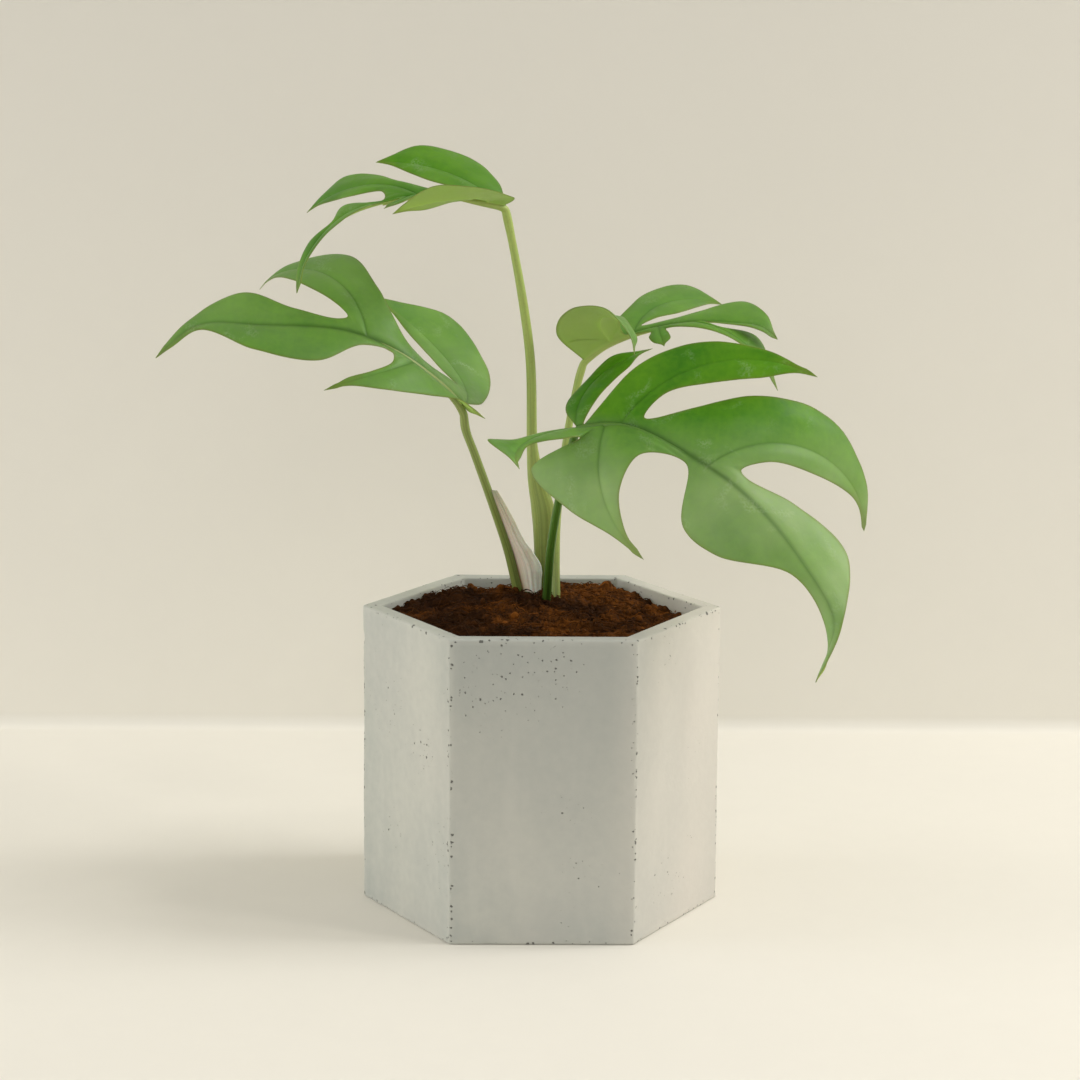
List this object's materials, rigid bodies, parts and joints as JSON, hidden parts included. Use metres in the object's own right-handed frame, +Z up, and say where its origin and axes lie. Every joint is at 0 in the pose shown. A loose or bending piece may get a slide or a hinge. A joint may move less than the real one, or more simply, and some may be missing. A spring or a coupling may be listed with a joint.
{
  "type": "potted mini monstera plant",
  "caption": "Young split-leaf climbing aroid with upright stalks, standing in coir in a six-sided cast concrete pot.",
  "frame": {"origin": "middle of the pot's underside", "axes": "+Z up out of the pot, -Y out of the pot's front face, +X to the viewer's right"},
  "size_m": [0.2342, 0.1268, 0.2527],
  "materials": {
    "concrete": "cast concrete, pale grey, matt, with small air pits",
    "coir": "damp reddish brown coir fibre and clods",
    "stalk_green": "living stalk, yellowish green, satin",
    "stalk_dark": "living stalk, dark green, satin",
    "leaf_green": "living leaf, mid green, satin, paler below",
    "sheath_papery": "dry papery sheath, pale tan"
  },
  "bodies": {
    "root": {"pot": "concrete", "soil": "coir", "petiole_top": "stalk_green", "petiole_left": "stalk_green", "petiole_front": "stalk_dark", "petiole_back": "stalk_green", "leaf_top": "leaf_green", "leaf_left": "leaf_green", "leaf_front": "leaf_green", "leaf_back": "leaf_green", "sheath_left": "sheath_papery"}
  },
  "joints": []
}
